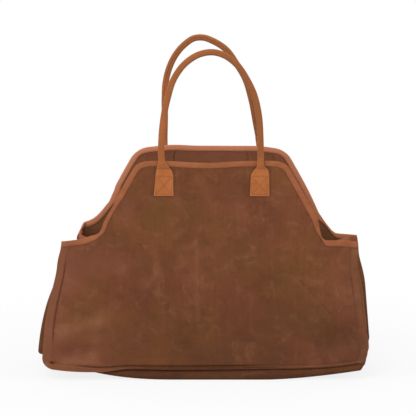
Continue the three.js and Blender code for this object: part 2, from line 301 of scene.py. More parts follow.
crook_height = WING_TOP + WING_LENGTH * math.tan(WING_FALL)
slope_width = (RIM_TOP - crook_height) * math.tan(SLOPE_FROM_UPRIGHT)
shoulder = np.array([SHOULDER_HALF_WIDTH, RIM_TOP])
crook = np.array([SHOULDER_HALF_WIDTH + slope_width, crook_height])
wing_tip = np.array([crook[0] + WING_LENGTH, WING_TOP])
down_slope, along_wing = unit(crook - shoulder), unit(wing_tip - crook)
steps = np.linspace(0, 1, 12)[:, None]
half_rim = np.concatenate([
    [[0, RIM_TOP]],
    bend(shoulder - [SHOULDER_ROUND, 0], shoulder, shoulder + SHOULDER_ROUND * down_slope, steps),
    bend(crook - CROOK_ROUND * down_slope, crook, crook + CROOK_ROUND * along_wing, steps),
    [wing_tip],
])
rim_lengths = run_along(half_rim)
HALF_RIM = rim_lengths[-1]
WING_HALF_WIDTH = wing_tip[0]


def rim_at(distance):
    """Place on the top edge's flat pattern, by the way along it from the middle."""
    x = np.interp(np.abs(distance), rim_lengths, half_rim[:, 0]) * np.sign(distance)
    return x, np.interp(np.abs(distance), rim_lengths, half_rim[:, 1])


def off_rim(distance, rise, reach=0.003):
    """Place in the pattern by the way along its top edge and the rise off it."""
    x, z = rim_at(distance)
    start_x, start_z = rim_at(np.clip(distance - reach, -HALF_RIM, HALF_RIM))
    end_x, end_z = rim_at(np.clip(distance + reach, -HALF_RIM, HALF_RIM))
    along = unit(stacked(end_x - start_x, end_z - start_z))
    return x - along[..., 1] * rise, z + along[..., 0] * rise


def seam_height(x):
    return SEAM_HEIGHT + SEAM_END_LIFT * (np.abs(x) / FOOT_HALF_WIDTH) ** SEAM_POWER


FLANGE_END = seam_height(FOOT_HALF_WIDTH) - FLANGE


def foot_allowance(side, x):
    """Width of the seam allowance at the foot: trimmed close but at the front's left end and
    the back's left corner."""
    width = lerp(FOOT_KEPT, FOOT_TRIMMED, smooth(x * -side, -0.262, -0.130))
    return lerp(width, FLANGE, (side == BACK) * smooth(-x, 0.242, 0.260))


def panel_foot(side, x):
    """Lower edge of a panel: it turns up into the side edge in a round corner, but for the
    back's left and the front's right corners, which are square."""
    corner_round = np.where(x * side < 0, CORNER_SHARP, CORNER_ROUND)
    into = np.clip(np.abs(x) - (FOOT_HALF_WIDTH - corner_round), 0, corner_round)
    turn = corner_round - np.sqrt(corner_round**2 - into**2)
    return seam_height(x) - foot_allowance(side, x) + turn


def side_edge(z):
    share = (z - FLANGE_END) / (WING_TOP - FLANGE_END)
    return lerp(FOOT_HALF_WIDTH, WING_HALF_WIDTH, share)


def side_seam(z):
    return side_edge(z) - FLANGE


def past_seams(x, z):
    """How far a place is past the side seam and past the foot's seam."""
    return np.abs(x) - side_seam(z), seam_height(x) - z


def half_depth(z):
    share = (z - SEAM_HEIGHT) / (RIM_TOP - SEAM_HEIGHT)
    return lerp(FOOT_HALF_DEPTH, MOUTH_HALF_DEPTH, share)


# Folds and scuffs that use has left in the cloth: two ends across and up, height, half width, and how
# much the place is rubbed pale, or below 0 darkened as painted shade in the fold's hollow.
FOLDS = {
    FRONT: [
        ((-0.028, 0.265), (-0.023, 0.115), 0.0006, 0.0035, 0.40),
        ((0.168, 0.188), (0.222, 0.126), -0.0008, 0.0025, -0.30),
        ((0.178, 0.168), (0.215, 0.128), 0.0010, 0.008, 0.12),
        ((-0.262, 0.084), (-0.190, 0.112), 0.0036, 0.016, 0.45),
        ((-0.250, 0.056), (-0.205, 0.060), -0.0034, 0.013, -0.32),
        ((-0.206, 0.040), (-0.198, 0.105), 0.0024, 0.009, 0.35),
        ((-0.250, 0.036), (-0.200, 0.034), 0.0014, 0.008, 0.35),
        ((0.205, 0.066), (0.265, 0.088), -0.0034, 0.022, -0.30),
        ((0.235, 0.245), (0.262, 0.150), 0.0014, 0.010, 0.0),
        ((0.258, 0.238), (0.272, 0.060), 0.0012, 0.0035, 0.10),
        ((0.266, 0.190), (0.279, 0.060), -0.0012, 0.0024, -0.15),
        ((-0.130, 0.330), (-0.172, 0.262), 0.0016, 0.016, 0.0),
        ((0.100, 0.320), (0.060, 0.250), -0.0012, 0.020, 0.0),
        ((-0.017, 0.198), (-0.016, 0.192), 0.0, 0.0024, 0.75),
        ((0.047, 0.234), (0.051, 0.231), 0.0, 0.0022, 0.75),
        ((0.006, 0.212), (0.011, 0.206), 0.0, 0.0034, 0.40),
        ((0.075, 0.096), (0.080, 0.088), 0.0, 0.0030, 0.40),
    ],
    BACK: [
        ((0.036, 0.300), (0.022, 0.090), 0.0009, 0.005, 0.4),
        ((-0.190, 0.210), (-0.110, 0.130), -0.0012, 0.004, -0.5),
        ((0.262, 0.080), (0.165, 0.120), 0.0030, 0.018, 0.1),
        ((-0.262, 0.090), (-0.190, 0.062), -0.0030, 0.022, -0.3),
        ((0.150, 0.300), (0.120, 0.220), 0.0016, 0.018, 0.0),
    ],
}
# Slow waves of the slack cloth: lengths across and up, turn, height.
WAVES = [
    (0.300, 0.420, 0.10, 0.0016),
    (0.170, -0.260, 0.55, 0.0010),
    (0.095, 0.150, 0.30, 0.0005),
    (0.060, -0.100, 0.80, 0.00025),
]
# Stains in a panel's pattern: middle, half sizes, and how olive, or below 0 how pink.
STAINS = {
    FRONT: [
        ((-0.098, 0.315), (0.030, 0.040), 0.9), ((-0.033, 0.318), (0.028, 0.022), 0.8),
        ((0.006, 0.200), (0.012, 0.016), 0.8), ((0.136, 0.200), (0.022, 0.022), 0.7),
        ((0.060, 0.235), (0.040, 0.030), 0.4), ((-0.238, 0.130), (0.026, 0.034), 0.8),
        ((0.215, 0.105), (0.040, 0.022), 0.5), ((0.120, 0.110), (0.050, 0.030), 0.5),
        ((-0.150, 0.325), (0.020, 0.022), -0.6), ((0.052, 0.325), (0.014, 0.022), -0.5),
        ((-0.262, 0.160), (0.034, 0.120), -0.9), ((-0.200, 0.220), (0.050, 0.030), -0.5),
        ((0.250, 0.180), (0.030, 0.070), -0.4), ((0.240, 0.075), (0.060, 0.030), -0.35),
        ((-0.220, 0.060), (0.050, 0.040), -0.6),
    ],
    BACK: [
        ((0.080, 0.280), (0.060, 0.050), 0.8), ((0.000, 0.395), (0.140, 0.040), -0.7),
        ((-0.140, 0.180), (0.070, 0.040), 0.6), ((-0.240, 0.120), (0.050, 0.080), -0.7),
        ((0.180, 0.140), (0.060, 0.040), -0.6),
    ],
}


def beside(x, z, start, end):
    """Distance from a line in the pattern, growing past its ends."""
    start, end = np.array(start), np.array(end)
    way = end - start
    share = np.clip(((x - start[0]) * way[0] + (z - start[1]) * way[1]) / (way @ way), 0, 1)
    return np.hypot(x - start[0] - share * way[0], z - start[1] - share * way[1])


def seam_grooves(side, x, z, width):
    """How near the side seams and the foot's seam are, where the stitches pull the cloth in."""
    past_side, past_foot = past_seams(x, z)
    side_groove = hump(past_side, 0, width) * smooth(past_foot, 0.001, -0.004)
    foot_groove = hump(past_foot, 0, width) * smooth(past_side, 0.001, -0.004)
    pull = smooth(z, 0.062, 0.090) * (1 - 0.8 * smooth(z, 0.205, 0.235))
    kept, trimmed = smooth(x * -side, -0.245, -0.210), smooth(x * -side, 0.040, 0.120)
    foot_groove = foot_groove * lerp(0.35, 1.0, kept) * lerp(1.0, 0.12, trimmed)
    return side_groove * pull * np.where(x > 0, 0.25, 1.0), foot_groove


def seam_gape(x, z):
    """The small hole at the left lower corner, where the two seams meet."""
    past_side, past_foot = past_seams(x, z)
    away = np.hypot(past_side + 0.001, (past_foot + 0.0005) * 1.8)
    return hump(away, 0, 0.0042) * (x < 0)


def swell(side, x, z):
    """How far a panel stands out from its plane: its belly, waves, folds and seam grooves."""
    seam = seam_height(x)
    belly_share = np.clip((z - seam) / (BELLY_TOP - seam), 0, 1)
    out = BELLY * (1 - (x / WING_HALF_WIDTH) ** 2) * np.sin(np.pi * belly_share) ** 2
    slack = smooth(z, seam, seam + 0.06) * (1 - 0.75 * smooth(z, 0.33, 0.40))
    slack = slack * (1 - 0.6 * smooth(np.abs(x), side_seam(z) - 0.05, side_seam(z)))
    for across, up, turn, height in WAVES:
        phase = x * side / across + z / up + turn + 0.37 * side
        out = out + slack * height * np.sin(math.tau * phase)
    for start, end, height, half_width, _ in FOLDS[side]:
        out = out + height * hump(beside(x, z, start, end), 0, half_width)
    side_groove, foot_groove = seam_grooves(side, x, z, GROOVE_WIDTH)
    side_groove = side_groove * smooth(z, WING_TOP - 0.008, WING_TOP - 0.020)
    out = out - GROOVE_DEPTH * np.maximum(side_groove, foot_groove)
    curl = smooth(past_seams(x, z)[0], 0, FLANGE) * np.sin(math.tau * (z / 0.16 + 0.2 * side))
    return out - GAPE_DEPTH * seam_gape(x, z) + CURL * curl


def turned(past, angle, radius):
    """Cloth that turns aside past a line: how far on it gets, and how far aside."""
    arc = np.clip(past / radius, 0, angle)
    rest = np.maximum(past - radius * angle, 0)
    on = radius * np.sin(arc) + rest * np.cos(angle)
    return on, radius * (1 - np.cos(arc)) + rest * np.sin(angle)


def folded_over(x, z, start, end, angle, radius):
    """Cloth beyond a line in the pattern turns aside: its moves across, up and aside."""
    start, end = np.array(start), np.array(end)
    way = unit(end - start)
    off = np.array([-way[1], way[0]]) * np.sign(start[0])
    past = np.clip((x - start[0]) * off[0] + (z - start[1]) * off[1], 0, None)
    past = past * (x * start[0] > 0)
    on, aside = turned(past, angle, radius)
    return (on - past) * off[0], (on - past) * off[1], aside


def foot_turn(side, x, z):
    """Angle at which the foot's seam allowance stands off: it hangs at the front's left end."""
    if side == FRONT:
        angle = lerp(14, 86, smooth(x, -0.225, -0.070))
    else:
        angle = 62 + 14 * np.sin(math.tau * x / 0.37)
    return np.radians(lerp(angle, 20, smooth(past_seams(x, z)[0], -0.006, 0.008)))


# Where in the pattern a move of the cloth is felt, across or up it.
def step(low, high):
    return lambda value: smooth(value, low, high)


def band(low, from_here, to_here, high):
    return lambda value: smooth(value, low, from_here) * smooth(value, high, to_here)


def about(middle, half_width):
    return lambda value: hump(value, middle, half_width)


def towards(hand):
    """Felt more and more towards an end of the bag, the left one for -1."""
    return lambda x: np.clip(np.abs(x) / WING_HALF_WIDTH, 0, 1.1) ** 2 * (x * hand > 0)


def half(hand):
    return lambda x: x * hand > 0


def everywhere(value):
    return 1.0


def foot_spread(z):
    return np.sin(np.pi / 2 * np.clip((0.172 - z) / 0.135, 0, 1)) ** 0.8


left_end, right_end, near_rim = towards(-1), towards(1), step(0.33, RIM_TOP)
# How the soft walls have leaned: moves across and up, and where across and up they are felt.
MOVES = {
    FRONT: [
        (-0.0030, 0, left_end, everywhere),
        (-0.0178, 0, left_end, step(0.262, 0.095)),
        (-0.0022, 0, left_end, about(0.228, 0.018)),
        (-0.0050, 0, right_end, step(0.02, 0.24)),
        (0.0034, 0, right_end, step(0.225, 0.262)),
        (0.0050, 0, right_end, about(0.072, 0.018)),
        (-0.0014, 0, right_end, about(0.195, 0.025)),
        (-0.0050, 0, right_end, step(0.050, 0.036)),
        (0.0050, 0, step(0.110, 0.135), step(0.266, 0.312)),
        (-0.0022, 0, step(-0.110, -0.135), step(0.320, 0.345)),
        (-0.0042, 0, step(-0.110, -0.160), band(0.262, 0.285, 0.320, 0.345)),
        (0.0036, 0, band(-0.240, -0.215, -0.185, -0.160), about(0.281, 0.012)),
        (0, -0.0043, about(-0.010, 0.050), near_rim),
        (0, -0.0090, about(0.214, 0.013), step(0.20, 0.27)),
        (0, -0.0030, about(0.228, 0.018), step(0.20, 0.26)),
        (0, -0.0020, step(0.225, 0.270), step(0.20, 0.26)),
        (0, -0.0020, step(-0.225, -0.270), step(0.20, 0.26)),
        (0, -0.0046, step(-0.145, -0.195), step(0.10, 0.05)),
        (0, 0.0015, about(0.10, 0.08), step(0.10, 0.05)),
    ],
    BACK: [
        (-0.0298, 0, left_end, foot_spread),
        (0.0055, 0, right_end, everywhere),
        (-0.0090, 0, right_end, step(0.15, WING_TOP)),
        (0.0027, 0, right_end, band(0.215, 0.250, 0.262, 0.276)),
        (-0.0035, 0, half(-1), band(0.325, 0.36, 0.39, 0.41)),
        (0.0035, 0, half(1), band(0.28, 0.34, 0.39, 0.41)),
        (-0.0026, 0, step(-0.10, -0.16), about(0.280, 0.016)),
        (0.0018, 0, step(-0.10, -0.16), about(0.308, 0.008)),
        (-0.0018, 0, step(-0.10, -0.16), about(0.338, 0.010)),
        (-0.0042, 0, step(0.12, 0.18), about(0.273, 0.014)),
        (0.0016, 0, step(0.190, 0.206), about(0.264, 0.009)),
        (0, -0.0210, step(0.208, 0.237), step(0.13, WING_TOP)),
        (0, -0.0022, about(-0.120, 0.022), near_rim),
        (0, -0.0036, about(0.120, 0.022), near_rim),
        (0, 0.0018, about(-0.068, 0.028), near_rim),
        (0, -0.0118, step(-0.235, -0.285), step(0.12, 0.035)),
    ],
}
# Lines past which the cloth has turned in: the front's rim has rolled over at both shoulders,
# and the back's left wing has folded. Two ends, angle, radius, and where it is felt.
TURNED_IN = {
    FRONT: [
        ((-0.1598, 0.345), (-0.2019, 0.2692), 76, 0.0032,
         step(-0.230, -0.206), band(0.250, 0.272, 0.322, 0.348)),
        ((0.1598, 0.345), (0.2019, 0.2692), 76, 0.0032,
         step(0.230, 0.206), band(0.250, 0.272, 0.280, 0.306)),
    ],
    BACK: [((-0.2310, 0.2645), (-0.280, 0.143), 84, 0.0050, everywhere, step(0.10, 0.17))],
}


def wall_surface(side, x, z):
    """Place of the middle of a wall's cloth by its pattern."""
    past_foot = np.clip(seam_height(x) - z, 0, None)
    on, out = turned(past_foot, foot_turn(side, x, z), SEAM_TURN)
    across, up = 0, past_foot - on
    for move_across, move_up, felt_across, felt_up in MOVES[side]:
        felt = felt_across(x) * felt_up(z)
        across, up = across + move_across * felt, up + move_up * felt
    for start, end, angle, radius, felt_across, felt_up in TURNED_IN[side]:
        angle = math.radians(angle) * felt_across(x) * felt_up(z)
        turn_across, turn_up, inwards = folded_over(x, z, start, end, angle, radius)
        across, up, out = across + turn_across, up + turn_up, out - inwards
    return stacked(x + across, side * (half_depth(z) + swell(side, x, z) + out), z + up)


def facing(surface, first, second, step_size):
    """Unit normals of a surface of two coordinates, on its right-hand side."""
    by_first = surface(first + step_size, second) - surface(first - step_size, second)
    by_second = surface(first, second + step_size) - surface(first, second - step_size)
    return unit(np.cross(by_first, by_second))


def wall_normal(side, x, z):
    """The way off a wall, away from the inside of the bag."""
    return -side * facing(lambda a, b: wall_surface(side, a, b), x, z, 0.0010)


def wall_point(side, x, z, out):
    """Place on a wall by its pattern, at a distance out from the middle of the cloth."""
    return wall_surface(side, x, z) + wall_normal(side, x, z) * np.asarray(out)[..., None]


def select_only(piece):
    bpy.ops.object.select_all(action="DESELECT")
    piece.select_set(True)
    bpy.context.view_layer.objects.active = piece


def laid_grid(name, material, columns, rows, place):
    """A grid laid over a surface: place gives points, pattern places, and wear with painted shading
    by column and row.
    """
    bpy.ops.object.select_all(action="DESELECT")
    bpy.ops.mesh.primitive_grid_add(
        x_subdivisions=len(columns) - 1, y_subdivisions=len(rows) - 1, size=2
    )
    piece = bpy.context.object
    piece.name = name
    mesh = piece.data
    flat = np.empty(3 * len(mesh.vertices))
    mesh.vertices.foreach_get("co", flat)
    flat = (flat.reshape(-1, 3) + 1) / 2
    column = np.rint(flat[:, 0] * (len(columns) - 1)).astype(int)
    row = np.rint(flat[:, 1] * (len(rows) - 1)).astype(int)
    points, pattern, wear_and_shading = place(np.asarray(columns)[column], np.asarray(rows)[row])
    mesh.vertices.foreach_set("co", points.ravel())
    corners = np.empty(len(mesh.loops), int)
    mesh.loops.foreach_get("vertex_index", corners)
    mesh.uv_layers.active.data.foreach_set("uv", pattern[corners].ravel())
    worn_or_shaded = mesh.attributes.new("wear_and_shading", "FLOAT", "POINT")
    worn_or_shaded.data.foreach_set("value", np.broadcast_to(wear_and_shading, len(points)).astype(float))
    mesh.update()
    mesh.materials.append(material)
    return piece


def laid_sheet(name, material, thickness, *grid):
    """Such a grid with a thickness, half to each side."""
    piece = laid_grid(name, material, *grid)
    select_only(piece)
    bpy.ops.object.modifier_add(type="SOLIDIFY")
    modifier = piece.modifiers[-1]
    modifier.thickness = thickness
    modifier.offset = 0
    bpy.ops.object.modifier_apply(modifier=modifier.name)
    bpy.ops.object.shade_smooth_by_angle(angle=math.radians(50))
    return piece


def stations(*stretches):
    """Places along a line in stretches of (start, end, steps)."""
    parts = [np.linspace(start, end, count, endpoint=False) for start, end, count in stretches]
    return np.concatenate([*parts, [stretches[-1][1]]])


def mirrored(half_stations):
    """Stations on both sides of a middle one at 0."""
    return np.concatenate([-half_stations[:0:-1], half_stations])


panel_columns = mirrored(stations(
    (0, HALF_RIM - WING_LENGTH, 96),
    (HALF_RIM - WING_LENGTH, HALF_RIM - FINE_ZONE, 9),
    (HALF_RIM - FINE_ZONE, HALF_RIM, 30),
))
panel_rows = stations((0, 1, 30), (1, 2, 96))


def panel_wear_and_shading(side, x, z, foot_z):
    """How rubbed pale and lit by painted light, or below 0 how darkened by painted shade, a panel is.
    """
    past_side, past_foot = past_seams(x, z)
    below_tape = z < WING_TOP - 0.012
    allowance = smooth(past_foot, 0.001, 0.003)
    wear_and_shading = np.maximum.reduce([
        0.3 * hump(past_side, 0.0032, 0.0014) * below_tape,
        0.6 * hump(past_foot, -0.0020, 0.0014) * smooth(-x, 0.12, 0.18),
        0.7 * smooth(np.abs(x), side_edge(z) - 0.002, side_edge(z)),
        0.5 * smooth(z, foot_z + 0.002, foot_z),
        0.5 * allowance * smooth(x, 0.12, 0.20),
        0.4 * smooth(past_side, 0, 0.003),
    ])
    # Painted shade on the foot's seam allowance, between its ends.
    wear_and_shading = wear_and_shading - 0.85 * allowance * smooth(x, -0.170, -0.100) * smooth(x, 0.15, 0.08)
    # Painted light on the back panel: lighter from about 0.2 m up, less so near its rim, where its
    # inside is seen in shade through the mouth, and low down past its side seams.
    if side == BACK:
        wear_and_shading = wear_and_shading + 0.9 * smooth(z, 0.180, 0.280) * (1 - 0.6 * smooth(z, 0.345, 0.385))
        wear_and_shading = wear_and_shading + 0.6 * smooth(past_side, -0.002, 0.002) * smooth(z, 0.18, 0.10)
    # Ridges are rubbed pale; below 0 the hollow gets painted shade.
    for start, end, _, half_width, rub_or_shade in FOLDS[side]:
        line = hump(beside(x, z, start, end), 0, half_width)
        wear_and_shading = wear_and_shading + rub_or_shade * line * (1 - 0.5 * wear_and_shading)
    # Painted shade in the seams' grooves and in the small hole where they meet.
    side_groove, foot_groove = seam_grooves(side, x, z, GROOVE_SHADE_WIDTH)
    dark = [0.8 * side_groove * below_tape, 0.5 * foot_groove, 1.6 * seam_gape(x, z)]
    return wear_and_shading - np.maximum.reduce(dark)


def panel_place(side):
    def place(distance, level):
        top_x, top_z = rim_at(distance)
        foot_x = top_x * FOOT_HALF_WIDTH / WING_HALF_WIDTH
        foot_z = panel_foot(side, foot_x)
        fine = foot_z + FINE_ZONE * level
        z = np.where(level <= 1, fine, lerp(foot_z + FINE_ZONE, top_z, level - 1))
        x = lerp(foot_x, top_x, (z - foot_z) / (top_z - foot_z))
        return wall_surface(side, x, z), stacked(x, z), panel_wear_and_shading(side, x, z, foot_z)
    return place


def stain(piece, side):
    """Writes a panel's stains on a piece by the places in its pattern."""
    mesh = piece.data
    corners, flat = np.empty(len(mesh.loops), int), np.empty(2 * len(mesh.loops))
    mesh.loops.foreach_get("vertex_index", corners)
    mesh.uv_layers.active.data.foreach_get("uv", flat)
    pattern = np.zeros((len(mesh.vertices), 2))
    pattern[corners] = flat.reshape(-1, 2)
    amount = np.zeros(len(pattern))
    for middle, half_size, strength in STAINS[side]:
        away = np.linalg.norm((pattern - middle) / half_size, axis=1)
        amount = amount + strength * hump(away, 0, 1)
    mesh.attributes.new("stain", "FLOAT", "POINT").data.foreach_set("value", amount)


canvas, tree, main = shader("waxed_canvas")
pattern = node(tree, "ShaderNodeUVMap").outputs["UV"]
split = node(tree, "ShaderNodeSeparateXYZ", {0: pattern}).outputs
to_right, height = split["X"], split["Y"]
stained, worn_or_shaded = written(tree, "stain"), written(tree, "wear_and_shading")
drawn_out = node(tree, "ShaderNodeMapping", {"Vector": pattern, "Scale": (1.0, 0.06, 1.0)}).outputs[0]
streaks = cloud(tree, drawn_out, 170.0, 3.0, 0.2)
patches = cloud(tree, pattern, 9.0, 4.0, 0.6)
blotches = cloud(tree, shifted(tree, pattern, (3, 1, 0)), 34.0, 5.0, 0.8, 0.6)
hue = cloud(tree, shifted(tree, pattern, (7, 5, 0)), 8.0, 3.0, 0.4)
fine_hue = cloud(tree, shifted(tree, pattern, (2, 9, 0)), 60.0, 4.0, 0.5)
uneven = cloud(tree, shifted(tree, pattern, (5, 2, 0)), 15.0, 4.0, 0.5)
# Painted shade: the canvas darkens towards the foot, but not at the left end.
low_shade = times(tree, span(tree, to_right, -0.26, -0.10, 0.0, 0.62), span(tree, height, 0.20, 0.03))
low_shade = times(tree, low_shade, span(tree, uneven, 0.42, 0.58, 0.35, 1.0))
scratches = cloud(tree, shifted(tree, pattern, (4, 6, 0)), 26.0, 6.0, 2.4)
thin = maths(tree, "ABSOLUTE", maths(tree, "SUBTRACT", scratches, 0.5))
scuffed = times(tree, span(tree, thin, 0.012, 0.0), span(tree, blotches, 0.5, 0.62))
weave = times(tree, stripes(tree, pattern, 0.0011, "X"), stripes(tree, pattern, 0.0011, "Y"))
tone = painted(
    tree, srgb(103, 59, 35),
    (span(tree, patches, 0.36, 0.64), (127, 75, 45)),
    (span(tree, hue, 0.46, 0.66, 0, 0.6), (117, 73, 36)),
    (span(tree, hue, 0.52, 0.34, 0, 0.6), (120, 67, 44)),
    (span(tree, fine_hue, 0.52, 0.68, 0, 0.45), (93, 57, 35)),
    (span(tree, blotches, 0.54, 0.72, 0, 0.50), (140, 90, 59)),
    (span(tree, streaks, 0.56, 0.36, 0, 0.12), (92, 54, 32)),
    (span(tree, streaks, 0.56, 0.70, 0, 0.08), (142, 92, 58)),
    (times(tree, stained, 0.6), (106, 71, 34)),
    (times(tree, stained, -0.7), (136, 80, 60)),
    (low_shade, (88, 52, 35)),
    (times(tree, scuffed, 0.45), (150, 104, 74)),
    # Pale where rubbed and where painted light is laid on; dark where shade is painted.
    (times(tree, worn_or_shaded, 0.42), (158, 108, 78)),
    (times(tree, worn_or_shaded, -0.62), (44, 26, 18)),
    (times(tree, weave, 0.10), (160, 112, 80)),
)
feed(tree, main.inputs["Base Color"], tone)
feed(tree, main.inputs["Roughness"], span(tree, blotches, 0.35, 0.7, 0.78, 0.6))
crumple = maths(tree, "ADD", times(tree, blotches, 0.6), cloud(tree, pattern, 120.0, 3.0))
inputs = {"Height": weave, "Distance": 0.0002, "Strength": 0.5}
inputs["Normal"] = relief(tree, crumple, 0.0012, 0.5)
feed(tree, main.inputs["Normal"], node(tree, "ShaderNodeBump", inputs).outputs["Normal"])
main.inputs["Specular IOR Level"].default_value = 0.15

WALLS = [("front", FRONT), ("back", BACK)]


def on_wall(piece, wall):
    """Lets a piece of a wall flatten with the bag as the walls are folded together."""
    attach(piece, f"{wall}_wall")
    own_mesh(piece)


for wall, side in WALLS:
    grid = panel_columns, panel_rows, panel_place(side)
    panel = laid_sheet(f"{wall}_canvas_panel", canvas, CLOTH, *grid)
    stain(panel, side)
    on_wall(panel, wall)
    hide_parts(f"{wall}_panel")


# The rim bindings: reddish ribbed tape, folded in half lengthwise over the raw top edge of each
# panel and sewn through both halves with one row of stitches near the tape's lower edge.
TAPE = 0.0008
BINDING_DROP = 0.0086
FOLD_OUT = CLOTH / 2 + GAP + TAPE / 2  # from the middle of the cloth to that of the tape
TAPE_PUFF = 0.0005
TAPE_EDGE_IN = 0.0002  # how much closer to the cloth its edges are
WING_TAPE_WIDER = 0.22  # share by which the tape reaches lower on one wing
STITCH_FROM_EDGE = 0.0022

tape, tree, main = shader("edge_tape")
pattern = node(tree, "ShaderNodeUVMap").outputs["UV"]
worn_or_shaded = written(tree, "wear_and_shading")
shade = cloud(tree, pattern, 30.0, 4.0, 0.4)
ribs = stripes(tree, pattern, 0.0012, "X")
cords = stripes(tree, pattern, 0.0022, "Y")
ribbed = maths(tree, "ADD", times(tree, ribs, 0.7), times(tree, cords, 0.3))
tone = painted(
    tree, srgb(148, 85, 54),
    (span(tree, shade, 0.35, 0.68), (170, 102, 66)),
    # The tape is darker along its lower edges; below 0 the back's tape gets painted light.
    (times(tree, worn_or_shaded, 0.45), (122, 68, 42)),
    (times(tree, worn_or_shaded, -1.0), (208, 133, 97)),
    (times(tree, ribbed, 0.16), (196, 132, 100)),
)
feed(tree, main.inputs["Base Color"], tone)
main.inputs["Roughness"].default_value = 0.82
main.inputs["Specular IOR Level"].default_value = 0.15
feed(tree, main.inputs["Normal"], relief(tree, ribbed, 0.0003, 0.6))

# The tape's section: how far above the cloth's edge and how far to which side.
fold_steps = np.linspace(math.pi, 0, 9)
drops = np.array([1.0, 0.94, 0.75, 0.5, 0.25])
puffs = TAPE_PUFF * np.sin(np.pi * (1 - drops)) - TAPE_EDGE_IN * (drops > 0.9)
low, high = -BINDING_DROP * drops, FOLD_OUT + puffs
binding_rise = np.concatenate([low, FOLD_OUT * np.sin(fold_steps), low[::-1]])
binding_out = np.concatenate([-high, FOLD_OUT * np.cos(fold_steps), high[::-1]])
binding_edge = np.concatenate([drops > 0.9, fold_steps < 0, drops[::-1] > 0.9])
binding_girth = run_along(stacked(binding_rise, binding_out))
binding_rows = np.arange(len(binding_rise))


def rim_binding_place(side):
    def place(distance, row):
        wing = smooth(distance * -side, HALF_RIM - 0.055, HALF_RIM - 0.015)
        wider = np.where(binding_rise[row] < 0, 1 + WING_TAPE_WIDER * wing, 1)
        x, z = off_rim(distance, binding_rise[row] * wider)
        points = wall_point(side, x, z, binding_out[row])
        # Painted light on the back's tape, which is seen from inside the mouth: lighter, less so at
        # its right end.
        lightened = (side == BACK) * lerp(0.95, 0.65, smooth(x, 0.11, 0.16))
        return points, stacked(distance, binding_girth[row]), binding_edge[row] - lightened
    return place


# Sewing thread: one stitch is modelled and laid along the rows.
STITCHES = {  # pitch and width of the thread
    "tape": (0.0036, 0.0007),
    "seam": (0.0042, 0.0008),
    "patch": (0.0034, 0.0008),
    "grip": (0.0036, 0.0008),
    "tab": (0.0032, 0.0009),
}


def thread_finish(name, colour, light):
    material, tree, main = shader(name)
    place = node(tree, "ShaderNodeTexCoord").outputs["Object"]
    twist = cloud(tree, place, 900.0, 2.0)
    tone = painted(tree, srgb(*colour), (span(tree, twist, 0.35, 0.65), light))
    feed(tree, main.inputs["Base Color"], tone)
    feed(tree, main.inputs["Normal"], relief(tree, twist, 0.0002, 0.5))
    main.inputs["Roughness"].default_value = 0.7
    return material


brown_thread = thread_finish("brown_thread", (96, 58, 38), (124, 78, 52))
tape_thread = thread_finish("tape_thread", (142, 84, 58), (170, 108, 78))
tan_thread = thread_finish("tan_thread", (150, 86, 46), (174, 104, 60))

bpy.ops.object.select_all(action="DESELECT")
bpy.ops.mesh.primitive_uv_sphere_add(segments=6, ring_count=5, radius=0.5)
stitch = bpy.context.object
stitch_points = np.array([vertex.co for vertex in stitch.data.vertices])
stitch_faces = [tuple(face.vertices) for face in stitch.data.polygons]
bpy.data.objects.remove(stitch)


def sewn(name, kind, material, lines):
    """Rows of stitches along lines, each given as its points and the cloth's normals there."""
    pitch, thread = STITCHES[kind]
    points, faces = [], []
    for line, normals in lines:
        lengths = run_along(line)
        count = max(int(lengths[-1] / pitch), 1)
        centres = (np.arange(count) + 0.5) * lengths[-1] / count

        def at(values, distance):
            return np.stack([np.interp(distance, lengths, values[:, k]) for k in range(3)], axis=-1)

        reach = 0.38 * pitch
        heads, tails = at(line, centres + reach), at(line, centres - reach)
        for head, tail, normal in zip(heads, tails, at(normals, centres)):
            along = head - tail
            across = thread * unit(np.cross(normal, along))
            up = 0.7 * thread * unit(np.cross(along, across))
            start = len(points) * len(stitch_points)
            laid = stitch_points @ np.stack([across, up, along * 1.1])
            points.append(laid + (head + tail) / 2)
            faces.extend(tuple(start + corner for corner in face) for face in stitch_faces)
    mesh = bpy.data.meshes.new(name)
    mesh.from_pydata(np.concatenate(points).tolist(), [], faces)
    piece = bpy.data.objects.new(name, mesh)
    bpy.context.scene.collection.objects.link(piece)
    select_only(piece)
    bpy.ops.object.mode_set(mode="EDIT")
    bpy.ops.mesh.select_all(action="SELECT")
    bpy.ops.mesh.normals_make_consistent(inside=False)
    bpy.ops.object.mode_set(mode="OBJECT")
    bpy.ops.object.shade_smooth()
    mesh.materials.append(material)
    return piece


def wall_line(side, x, z, out):
    """A line of places on a wall, with the normals that face away from the cloth."""
    x, z = np.broadcast_arrays(np.asarray(x, float), np.asarray(z, float))
    normals = wall_normal(side, x, z) * (1 if out > 0 else -1)
    return wall_point(side, x, z, np.full(len(x), out)), normals


rim_run = np.linspace(-HALF_RIM + 0.002, HALF_RIM - 0.002, 300)
row_x, row_z = off_rim(rim_run, STITCH_FROM_EDGE - BINDING_DROP)
for wall, side in WALLS:
    grid = panel_columns, binding_rows, rim_binding_place(side)
    binding = laid_sheet(f"{wall}_rim_tape", tape, TAPE, *grid)
    on_wall(binding, wall)
    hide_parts(f"{wall}_rim_binding")
    skin = FOLD_OUT + TAPE / 2 + GAP
    rows = [wall_line(side, row_x, row_z, out) for out in (skin, -skin)]
    stitches = sewn(f"{wall}_rim_stitches", "tape", tape_thread, rows)
    on_wall(stitches, wall)


# The gussets: the two narrow ends of the bag, of the same canvas. Each is folded inwards at the
# top, so that the mouth closes, and bellies out at the foot. Its side edges lie behind the
# panels' seam allowances.
HANDS = [("left", -1), ("right", 1)]
BEHIND = CLOTH + GAP
TAPE_STEP = TAPE + GAP  # room for one layer of tape
GUSSET_FLANGE = FLANGE - 0.0008
